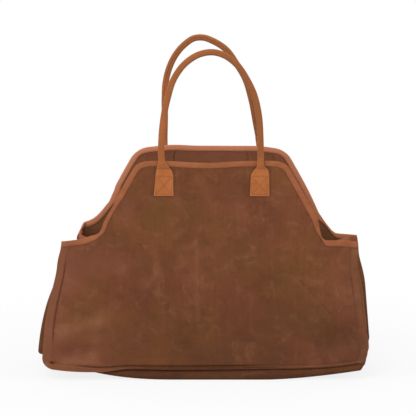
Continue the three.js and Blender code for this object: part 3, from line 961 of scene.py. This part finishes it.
# By hand: where the fold's crease is, how deep it is and how wide; how far the foot swells and at
# what height; and where the base leaves the floor, over what length it rises how far, and with
# what power of the way.
GUSSET_FOLDS = {-1: (-0.15, 0.026, 0.85), 1: (0.03, 0.026, 1.0)}
GUSSET_BULGES = {-1: (0.007, 0.060), 1: (0.0132, 0.052)}
BASE_CURLS = {-1: (0.06, 0.16, 0.0150, 2.5), 1: (0.10, FOOT_HALF_WIDTH - 0.10, 0.0196, 1.6)}
HIGHEST_CURL = 0.024
BULGE_HALF_HEIGHT = 0.040
FOOT_SWELL = 0.004  # of both gussets, besides the bulge
CORNER_OUT = 0.0074  # of the right gusset's front corner
ALLOWANCE_EXTRA = 0.0062  # of the right gusset along the front
GUSSET_SAG = 0.004  # of its top edge's middle


def behind(z):
    """How far the gusset lies behind a panel, with two layers of tape between at the top."""
    tape_foot = WING_TOP - BINDING_DROP
    return BEHIND + 2 * TAPE_STEP * smooth(z, tape_foot - 0.010, tape_foot)


def gusset_fold(hand, share, height):
    """How far the gusset's fold stands in, front seam to back seam as share -1 to 1."""
    crease, depth, reach = GUSSET_FOLDS[hand]
    beside_crease = np.sqrt((share - crease) ** 2 + 0.05**2)
    inwards = depth * np.clip(1 - beside_crease / reach, 0, 1)
    edge_free = 1 - np.abs(np.clip(share, -1, 1)) ** 6
    return inwards * edge_free * height**1.4


def gusset_bulge(hand, z):
    """How far the foot of the gusset swells out."""
    depth, middle = GUSSET_BULGES[hand]
    return depth * hump(z, middle, BULGE_HALF_HEIGHT) + FOOT_SWELL * smooth(z, 0.2, 0.02)


def gusset_corner(hand, share, z):
    """How far the right gusset's front corner sticks out at the foot."""
    return CORNER_OUT * (hand > 0) * hump(share, -0.70, 0.35) * smooth(z, 0.041, 0.026)


def gusset_allowance(hand, share, z):
    """Width of the gusset's seam allowances: the right one is cut wider along the front."""
    wider = ALLOWANCE_EXTRA * smooth(z, 0.070, 0.110) * smooth(z, 0.25, 0.17)
    return GUSSET_FLANGE + wider * (hand > 0) * (share < -1)


def gusset_surface(hand, share, z):
    """A gusset's cloth: share runs from the front seam at -1 to the back seam at 1, and beyond
    them over the seam allowances."""
    over = np.clip(np.abs(share) - 1, 0, 1) * gusset_allowance(hand, share, z)
    x = hand * (side_seam(z) + over)
    front, back = (wall_point(side, x, z, -behind(z)) for side in (FRONT, BACK))
    across = (np.clip(share, -1, 1) + 1) / 2
    point = lerp(front, back, across[..., None])
    height = np.clip((z - FLANGE_END) / (WING_TOP - FLANGE_END), 0, 1)
    free = 1 - np.clip(np.abs(share), 0, 1) ** 2
    ripple = 0.0016 * free * np.sin(math.tau * (z / 0.13 + 0.8 * share + 0.2 * hand))
    ripple = ripple + 0.0008 * free * np.sin(math.tau * (z / 0.07 - 1.1 * share))
    bulge = gusset_bulge(hand, z) * free + gusset_corner(hand, share, z) + ripple
    point[..., 0] += hand * (bulge - gusset_fold(hand, share, height))
    point[..., 2] -= GUSSET_SAG * free * height**3
    return point


def gusset_normal(hand, share, z):
    """The way off a gusset, away from the inside of the bag."""
    return hand * facing(lambda a, b: gusset_surface(hand, a, b), share, z, 0.0015)


def gusset_point(hand, share, z, out):
    out = np.asarray(out)[..., None]
    return gusset_surface(hand, share, z) + gusset_normal(hand, share, z) * out


def floor_height(x):
    """The base rests on the floor in the middle and curls up at both ends."""
    left, right = (
        rise * (np.clip(hand * x - start, 0, None) / length) ** power
        for hand, (start, length, rise, power) in BASE_CURLS.items()
    )
    return np.minimum(np.where(x > 0, right, left), HIGHEST_CURL)


gusset_columns = mirrored(stations((0, 0.16, 8), (0.16, 0.92, 15), (0.92, 1.0, 6), (1.0, 2.0, 6)))
gusset_rows = stations((0, 0.12, 10), (0.12, 0.86, 38), (0.86, 1, 12))


def gusset_place(hand):
    def place(share, level):
        over = np.clip(np.abs(share) - 1, 0, 1)
        middle_foot = floor_height(hand * (FOOT_HALF_WIDTH + 0.008))
        seam_end = side_seam(FLANGE_END) + over * GUSSET_FLANGE
        edge_foot = panel_foot(np.where(share < 0, FRONT, BACK), hand * seam_end) + 0.0005
        foot = lerp(middle_foot, edge_foot, np.clip(np.abs(share), 0, 1) ** 4)
        z = lerp(foot, WING_TOP, level)
        points = gusset_surface(hand, share, z)
        depth = half_depth(z) * np.clip(share, -1, 1) + FLANGE * over * np.sign(share)
        wear_and_shading = np.maximum.reduce([
            smooth(over, 0.85, 1),
            0.5 * hump(share, GUSSET_FOLDS[hand][0], 0.03) * smooth(z, 0.10, 0.2),
            0.6 * smooth(over, 0, 0.3),
            # Painted light: the gusset is lighter high up, where its inside is seen in shade.
            0.7 * smooth(z, 0.16, 0.24),
        ])
        return points, stacked(depth + 0.6, z), wear_and_shading
    return place


def gusset_binding_place(hand):
    def place(share, row):
        rise, out = binding_rise[row], binding_out[row]
        top = np.minimum(WING_TOP + rise, WING_TOP)
        points = gusset_point(hand, share, top, out)
        points[..., 2] += np.maximum(rise, 0)
        return points, stacked(half_depth(top) * share, binding_girth[row]), binding_edge[row]
    return place


def on_base(piece):
    """Lets a piece between the walls flatten with the bag."""
    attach(piece, "base")
    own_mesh(piece)


gusset_binding_columns = mirrored(stations((0, 0.16, 8), (0.16, 0.93, 16), (0.93, 1.94, 12)))
for hand, way in HANDS:
    grid = gusset_columns, gusset_rows, gusset_place(way)
    gusset = laid_sheet(f"{hand}_canvas_gusset", canvas, CLOTH, *grid)
    on_base(gusset)
    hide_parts(f"{hand}_gusset")
    grid = gusset_binding_columns, binding_rows, gusset_binding_place(way)
    binding = laid_sheet(f"{hand}_gusset_tape", tape, TAPE, *grid)
    on_base(binding)
    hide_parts(f"{hand}_gusset_binding")
    share = np.linspace(-1.85, 1.85, 160)
    level = np.full_like(share, WING_TOP - BINDING_DROP + STITCH_FROM_EDGE)
    rows = []
    for turn in (-1, 1):
        out = np.full_like(share, turn * (FOLD_OUT + TAPE / 2 + GAP))
        rows.append((gusset_point(way, share, level, out), turn * gusset_normal(way, share, level)))
    stitches = sewn(f"{hand}_gusset_tape_stitches", "tape", tape_thread, rows)
    on_base(stitches)


# The base: one piece of canvas from the front seam across the floor to the back seam. Its long
# edges turn down inside the panels' seam allowances, and its ends lie inside the gussets' feet.
FLOOR_HALF_DEPTH = 0.079
SEAM_CORNER = 0.002  # how far from the seam the base begins to turn outwards
END_LAP = 0.010  # how far the base's ends stand up inside the gussets
BASE_BULGE = 0.004  # of the base between the floor and the seams
OFF_FLOOR = 0.0001
BELOW_SEAM = 0.0005  # how far under the panels' seams the base's own are
HEM_MARGIN = 0.0014  # by how much the base's hems are narrower than the panels' allowances
END_FROM = 0.968  # share of the base's length at which its ends begin to stand up
END_HEIGHT = 0.029  # at which the ends meet the gussets
base_profile = stations((0, 1, 10), (1, 2, 18), (2, 3, 8), (3, 4, 8))
base_columns = mirrored(stations((0, 0.8, 50), (0.8, END_FROM, 14), (END_FROM, 1, 10)))


def base_place(station, part):
    side = np.where(part < 0, FRONT, BACK)
    part = np.abs(part)
    hand = np.where(station < 0, -1, 1)
    share = side * np.clip(part, 0, 1.96) / 2
    level = np.full_like(share, END_HEIGHT)
    ends = [gusset_surface(way, share, level)[..., 0] for _, way in HANDS]
    end = np.where(hand < 0, -ends[0], ends[1]) - BEHIND
    floor_x = station * end
    x = station * side_seam(SEAM_HEIGHT)
    seam = seam_height(x) - BELOW_SEAM
    lap = END_LAP * smooth(np.abs(station), END_FROM, 1)
    low = floor_height(floor_x) + CLOTH / 2 + OFF_FLOOR + lap
    points = np.zeros((len(x), 3))
    for way in (FRONT, BACK):
        floor_edge = stacked(floor_x, way * FLOOR_HALF_DEPTH, low)
        corner = wall_point(way, x, seam, -BEHIND)
        after = wall_point(way, x, seam - SEAM_CORNER, -BEHIND)
        before = corner + SEAM_CORNER * unit(floor_edge - corner)
        hem_width = foot_allowance(way, x) - SEAM_CORNER - HEM_MARGIN
        tip = np.clip(part - 3, 0, 1) * hem_width
        hem = wall_point(way, x, seam - SEAM_CORNER - tip, -BEHIND)
        rise = np.clip(part - 1, 0, 1)[:, None]
        turn = np.clip(part - 2, 0, 1)[:, None]
        flat = floor_edge * [1, 0, 1] + (floor_edge * [0, 1, 0]) * np.clip(part, 0, 1)[:, None]
        wall = lerp(floor_edge, before, rise)
        wall[:, 1] += way * BASE_BULGE * np.sin(np.pi * rise[:, 0] ** 0.7)
        reached = [(part <= number)[:, None] for number in (1, 2, 3)]
        placed = np.select(reached, [flat, wall, bend(before, corner, after, turn)], hem)
        points = np.where((side == way)[:, None], placed, points)
    pattern = stacked(x, side * part * 0.05 + 2.0)
    # Painted shade: the base is darker from its floor's edges up its sides, round its seams and on
    # its hems, less so towards the right.
    base_shade = smooth(part, 0.9, 1.0) * lerp(0.4, 1.0, smooth(part, 1.0, 1.9))
    base_shade = base_shade * smooth(part, 3.6, 3.0) * (1 - 0.4 * smooth(x, 0.0, 0.10))
    return points, pattern, -base_shade


grid = base_columns, mirrored(base_profile), base_place
base = laid_sheet("canvas_base", canvas, CLOTH, *grid)
on_base(base)
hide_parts("base_panel")


# The seams: rows of brown lockstitch that hold each panel to the gussets and the base.
for wall, side in WALLS:
    rows = []
    skin = CLOTH / 2 + 0.0001
    for _, way in HANDS:
        z = np.linspace(seam_height(FOOT_HALF_WIDTH) + 0.004, WING_TOP - BINDING_DROP, 200)
        rows.append(wall_line(side, way * side_seam(z), z, skin))
    x = np.linspace(-side_seam(SEAM_HEIGHT), side_seam(SEAM_HEIGHT), 400)
    rows.append(wall_line(side, x, seam_height(x), skin))
    stitches = sewn(f"{wall}_seam_stitches", "seam", brown_thread, rows)
    on_wall(stitches, wall)


# The patches: squares of canvas inside the panels, behind the handles' tabs, which share the
# tabs' stitches and keep them from tearing out.
TAB_FOOT = RIM_TOP - 0.064
TAB_X = 0.090
PATCH_HALF_WIDTH = 0.023
PATCH_HEIGHT = 0.052
PATCH_TOP = RIM_TOP - BINDING_DROP - 0.0015
PATCH_EDGE_LIFT = 0.0004
PATCH_ROW = 0.015  # from a patch's middle to the stitches at its sides
patch_columns = np.concatenate([[-1, -0.93], np.linspace(-0.8, 0.8, 11), [0.93, 1]])
patch_rows = np.concatenate([[0, 0.03], np.linspace(0.1, 0.9, 11), [0.97, 1]])


def patch_place(side, middle):
    def place(across, level):
        x = middle + across * PATCH_HALF_WIDTH
        z = PATCH_TOP - PATCH_HEIGHT + level * PATCH_HEIGHT
        edge = np.maximum(smooth(np.abs(across), 0.93, 1), smooth(np.abs(level - 0.5), 0.47, 0.5))
        lifted = CLOTH + GAP + PATCH_EDGE_LIFT * edge
        return wall_point(side, x, z, -lifted), stacked(x, z + 0.002), 0.3 + 0.3 * edge
    return place


# The stitched box and cross: how far its low and high lines are above the tab's foot.
BOX_LOW, BOX_HIGH = 0.0035, 0.0372
BOX_MARGIN = 0.0032


def box_ways(left_low, right_low, left_high, right_high):
    """The start and end of each line of a stitched box and of the cross in it."""
    low, high = TAB_FOOT + BOX_LOW, TAB_FOOT + BOX_HIGH
    corners = [(left_low, low), (right_low, low), (right_high, high), (left_high, high)]
    return [(corners[a], corners[b]) for a, b in [(0, 1), (1, 2), (2, 3), (3, 0), (0, 2), (1, 3)]]


def box_rows(side, ways, out):
    """The same lines as rows of stitches on a wall."""
    rows = []
    for start, end in np.array(ways):
        track = start + (end - start) * np.linspace(0.01, 0.99, 24)[:, None]
        rows.append(wall_line(side, track[:, 0], track[:, 1], out))
    return rows


for wall, side in WALLS:
    for hand, way in HANDS:
        middle = way * TAB_X
        grid = patch_columns, patch_rows, patch_place(side, middle)
        patch = laid_sheet(f"{wall}_{hand}_canvas_patch", canvas, CLOTH, *grid)
        stain(patch, side)
        on_wall(patch, wall)
        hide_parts(f"{wall}_{hand}_patch")
        ways = box_ways(*(middle + PATCH_ROW * turn for turn in (-1, 1, -1, 1)))
        rows = box_rows(side, ways, -(1.5 * CLOTH + 0.0005))
        stitches = sewn(f"{wall}_{hand}_patch_stitches", "patch", brown_thread, rows)
        on_wall(stitches, wall)


# The handles: a long strip of tan leather, folded round a cord along the grip with its edges
# meeting on the side by the bag, and opening into a flat tab at each end. The tabs are sewn
# through the panel with a box and a cross.
LEATHER_TAB = 0.0024
NECK_THICKNESS = 0.0055
GRIP_THICKNESS = 0.0100
STRAP_DEPTH = 0.07995  # of the strap's middle, from the bag's middle
NECK_TOP = 0.451  # where the strap has its full thickness
HINGE = 0.415
EDGE_ROUND = 0.0011
PRESSED_WIDTH = 0.0008  # of the lines that the stitches press into the tabs
PRESSED_DEPTH = 0.0003
SLIT_WIDTH = 0.0008  # where the folded leather's edges meet
SLIT_DEPTH = 0.0012
SLIT_STITCHES = 0.0022  # from the slit to the stitches beside it
STRAP_HALF_WIDTH = 0.0060
TAB_END = (0.400, 0.412)  # heights between which the leather leaves the cloth
TAB_THICKENS = (0.396, 0.411)  # heights between which it goes over into the neck
SLIT_FROM = (0.425, 0.445)  # heights between which the slit begins

# How a tab reaches to each side of the strap's middle, by height: left and right of it.
TAB_SHAPES = {
    -1: [
        (0.3470, 0.0142, 0.0212), (0.3492, 0.0146, 0.0216), (0.3650, 0.0130, 0.0212),
        (0.3850, 0.0113, 0.0210), (0.3920, 0.0104, 0.0200), (0.3980, 0.0095, 0.0168),
        (0.4040, 0.0084, 0.0116), (0.4090, 0.0072, 0.0078),
        (0.4135, STRAP_HALF_WIDTH, STRAP_HALF_WIDTH),
    ],
    1: [
        (0.3470, 0.0189, 0.0163), (0.3492, 0.0194, 0.0167), (0.3650, 0.0186, 0.0165),
        (0.3855, 0.0178, 0.0162), (0.3905, 0.0160, 0.0158), (0.3950, 0.0125, 0.0146),
        (0.3990, 0.0086, 0.0118), (0.4030, 0.0066, 0.0072),
        (0.4070, STRAP_HALF_WIDTH, STRAP_HALF_WIDTH),
    ],
}
# The loop's middle line, across and up, from the top of the left leg to that of the right one.
LOOPS = {
    FRONT: [
        (-0.0924, 0.431), (-0.0901, 0.474), (-0.0805, 0.530), (-0.0683, 0.568), (-0.0482, 0.596),
        (-0.0186, 0.6145), (0.0040, 0.6175), (0.0260, 0.611), (0.0482, 0.5935), (0.0654, 0.568),
        (0.0789, 0.5395), (0.0878, 0.502), (0.0912, 0.455), (0.0918, 0.431),
    ],
    BACK: [
        (-0.0868, 0.431), (-0.0860, 0.465), (-0.0861, 0.501), (-0.0846, 0.530), (-0.0786, 0.5566),
        (-0.0655, 0.5845), (-0.0499, 0.6029), (-0.0298, 0.6158), (-0.0131, 0.6163), (0.0032, 0.6103),
        (0.0263, 0.5955), (0.0475, 0.567), (0.0636, 0.539), (0.0750, 0.501), (0.0842, 0.453),
        (0.0884, 0.431),
    ],
}
LEG_FEET = {FRONT: (-0.0908, 0.0915), BACK: (-0.0865, 0.0910)}
LEG_TOP = 0.431  # up to where the legs stand straight


def smooth_curve(points, pitch):
    """A smooth line through points, with steps of a given length."""
    points = np.array(points)
    lengths = run_along(points)
    slopes = np.gradient(points, lengths, axis=0)
    distance = np.linspace(0, lengths[-1], int(lengths[-1] / pitch))
    first = np.clip(np.searchsorted(lengths, distance) - 1, 0, len(points) - 2)
    gap = np.diff(lengths)[first][:, None]
    share = (distance - lengths[first])[:, None] / gap
    start, end = points[first], points[first + 1]
    eased = share**2 * (3 - 2 * share)
    leaving, arriving = share * (1 - share) ** 2, -(share**2) * (1 - share)
    turning = gap * (leaving * slopes[first] + arriving * slopes[first + 1])
    return lerp(start, end, eased) + turning


def handle_track(side):
    """The strap's middle line, across and up, from one tab's foot to the other's."""
    loop = smooth_curve(LOOPS[side], 0.0032)
    heights = np.concatenate([
        [TAB_FOOT, TAB_FOOT + 0.0006], np.arange(TAB_FOOT + 0.0014, RIM_TOP - 0.002, 0.0009),
        np.arange(RIM_TOP - 0.001, LEG_TOP, 0.0016),
    ])
    legs = [
        stacked(lerp(foot_x, top_x, smooth(heights, HINGE - 0.01, LEG_TOP)), heights)
        for foot_x, top_x in zip(LEG_FEET[side], (loop[0, 0], loop[-1, 0]))
    ]
    return np.concatenate([legs[0], loop, legs[1][::-1]])


def section():
    """The outline of the leather's section: for each point the corner that it belongs to and
    the way it lies round that corner."""
    corner, turned = [], []
    quarter = np.linspace(0, math.pi / 2, 5)
    for number, (across, out) in enumerate([(1, 1), (-1, 1), (-1, -1), (1, -1)]):
        angles = quarter + number * math.pi / 2
        corner.extend([(across, out)] * len(angles))
        turned.extend(zip(np.cos(angles), np.sin(angles)))
        if across == out:  # the broad faces have points between their corners
            between = np.linspace(across, -across, 34)[1:-1]
            corner.extend((place, out) for place in between)
            turned.extend([(0, out)] * len(between))
    return np.array(corner, float).T, np.array(turned, float).T


def strap_point(side, track, along, across, out):
    """Place by the way along the strap, over to the right as seen along it, and outwards."""
    x = track[..., 0] + along[..., 1] * across
    z = track[..., 1] - along[..., 0] * across
    return stacked(x, side * (STRAP_DEPTH + out), z)


def tab_reach(side, hand, height):
    """How far the leather reaches to the left and right of its middle line."""
    heights, left, right = np.array(TAB_SHAPES[-side * hand]).T
    if side == BACK:
        left, right = right, left
    return np.interp(height, heights, left), np.interp(height, heights, right)


def tab_ways(side, number):
    """The stitched lines on a tab, which narrows upwards."""
    foot_x, hand = LEG_FEET[side][number], (-1, 1)[number]
    low_left, low_right = tab_reach(side, hand, TAB_FOOT + BOX_LOW)
    high_left, high_right = tab_reach(side, hand, TAB_FOOT + BOX_HIGH)
    return box_ways(
        foot_x - low_left + BOX_MARGIN, foot_x + low_right - BOX_MARGIN,
        foot_x - high_left + BOX_MARGIN / 2, foot_x + high_right - BOX_MARGIN / 2,
    )


def handle_rings(side):
    """Rings of points round the leather with their directions, how worn its edges are, and where
    shade is painted in the pressed stitch lines.
    """
    track = handle_track(side)
    along = unit(np.gradient(track, axis=0))
    height = track[:, 1]
    going_up = np.arange(len(track)) < len(track) / 2
    left_leg, right_leg = tab_reach(side, -1, height), tab_reach(side, 1, height)
    far_right = np.where(going_up, left_leg[1], right_leg[0])
    far_left = np.where(going_up, left_leg[0], right_leg[1])
    thickness = lerp(LEATHER_TAB, NECK_THICKNESS, smooth(height, *TAB_THICKENS))
    thickness = lerp(thickness, GRIP_THICKNESS, smooth(height, HINGE, NECK_TOP))
    thickness[[0, -1]] *= 0.55
    fold_round = lerp(EDGE_ROUND, 0.46 * thickness, smooth(height, TAB_END[0], NECK_TOP))
    rounding = np.minimum(fold_round, 0.48 * thickness)[:, None]

    corner, turned = section()
    half_width = ((far_left + far_right) / 2)[:, None]
    middle = ((far_right - far_left) / 2)[:, None]
    from_middle = corner[0] * (half_width - rounding) + turned[0] * rounding
    out = corner[1] * (thickness[:, None] / 2 - rounding) + turned[1] * rounding
    slit = (turned[1] < -0.9) * hump(from_middle, 0, SLIT_WIDTH)
    out = out + SLIT_DEPTH * slit * smooth(height, *SLIT_FROM)[:, None]
    free = strap_point(side, track[:, None], along[:, None], middle + from_middle, out)
    ways = tab_ways(side, 0) + tab_ways(side, 1)
    nearest = np.minimum.reduce([beside(free[..., 0], free[..., 2], *way) for way in ways])
    pressed = hump(nearest, 0, PRESSED_WIDTH) * (turned[1] > 0.9)
    out = out - PRESSED_DEPTH * pressed
    lift = CLOTH / 2 + GAP + TAPE_STEP * smooth(height, PATCH_TOP - 0.003, PATCH_TOP)
    on_cloth_z = np.minimum(free[..., 2], RIM_TOP)
    sewn_on = wall_point(side, free[..., 0], on_cloth_z, (lift + thickness / 2)[:, None] + out)
    rings = lerp(sewn_on, free, smooth(height, *TAB_END)[:, None, None])
    # Pale edges, and painted shade in the lines that the stitches press into the tabs.
    wear_and_shading = smooth(np.abs(from_middle) / half_width, 0.80, 1.0) - 0.5 * pressed
    return track, along, rings, wear_and_shading


leather, tree, main = shader("tan_leather")
place = node(tree, "ShaderNodeTexCoord").outputs["Object"]
worn_or_shaded = written(tree, "wear_and_shading")
split = node(tree, "ShaderNodeSeparateXYZ", {0: place}).outputs
to_right, height = split["X"], split["Z"]
# Painted shade: the legs are darker above the tabs, more so on the right.
leg_shade = span(tree, to_right, 0.0, 0.08, 0.35, 0.80)
leg_shade = times(tree, leg_shade, span(tree, height, 0.400, 0.425, 0.15, 1.0))
shade = cloud(tree, place, 26.0, 4.0, 0.5)
nap = cloud(tree, place, 380.0, 4.0, 0.3)
tone = painted(
    tree, srgb(171, 97, 47),
    (span(tree, shade, 0.35, 0.65), (193, 112, 58)),
    (span(tree, height, 0.46, 0.60, 0, 0.6), (154, 92, 45)),
    (leg_shade, (144, 84, 42)),
    (span(tree, nap, 0.5, 0.72, 0, 0.35), (194, 120, 70)),
    # Pale at the edges; dark with painted shade in the pressed lines.
    (times(tree, worn_or_shaded, 0.35), (196, 126, 76)),
    (times(tree, worn_or_shaded, -0.7), (84, 44, 20)),
)
feed(tree, main.inputs["Base Color"], tone)
feed(tree, main.inputs["Roughness"], span(tree, nap, 0.3, 0.7, 0.72, 0.88))
grain = maths(tree, "ADD", times(tree, nap, 0.7), cloud(tree, place, 1300.0, 2.0))
feed(tree, main.inputs["Normal"], relief(tree, grain, 0.0004, 0.5))
main.inputs["Specular IOR Level"].default_value = 0.25
main.inputs["Sheen Weight"].default_value = 0.2
main.inputs["Sheen Roughness"].default_value = 0.5

for wall, side in WALLS:
    track, along, rings, wear_and_shading = handle_rings(side)
    lengths, points_round = run_along(track), rings.shape[1]

    def handle_place(ring, point):
        girth = np.linalg.norm(np.diff(rings, axis=1), axis=-1)
        girth = np.concatenate([np.zeros((len(rings), 1)), np.cumsum(girth, axis=1)], axis=1)
        first = point % points_round
        pattern = stacked(girth[ring, first], lengths[ring])
        return rings[ring, first], pattern, wear_and_shading[ring, first]

    grid = np.arange(len(track)), np.arange(points_round + 1), handle_place
    handle = laid_grid(f"{wall}_leather_handle", leather, *grid)
    select_only(handle)
    bpy.ops.object.mode_set(mode="EDIT")
    bpy.ops.mesh.select_all(action="SELECT")
    bpy.ops.mesh.remove_doubles(threshold=0.00001)
    bpy.ops.mesh.fill_holes(sides=0)
    bpy.ops.mesh.select_all(action="SELECT")
    bpy.ops.mesh.normals_make_consistent(inside=False)
    bpy.ops.object.mode_set(mode="OBJECT")
    bpy.ops.object.shade_smooth_by_angle(angle=math.radians(60))
    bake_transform(handle)
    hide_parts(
        f"{wall}_left_tab", f"{wall}_right_tab", f"{wall}_handle_strap", f"{wall}_handle_cord",
    )

    rows = []
    grip = track[:, 1] > NECK_TOP
    for across in (-SLIT_STITCHES, SLIT_STITCHES):
        row = strap_point(side, track[grip], along[grip], across, -GRIP_THICKNESS / 2 - 0.0001)
        rows.append((row, np.tile([0, -side, 0], (len(row), 1))))
    stitches = sewn(f"{wall}_handle_stitches", "grip", tan_thread, rows)
    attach(stitches, f"{wall}_handle")

    for number, (hand, _) in enumerate(HANDS):
        rows = box_rows(side, tab_ways(side, number), CLOTH / 2 + LEATHER_TAB)
        stitches = sewn(f"{wall}_{hand}_tab_stitches", "tab", tan_thread, rows)
        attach(stitches, f"{wall}_wall")
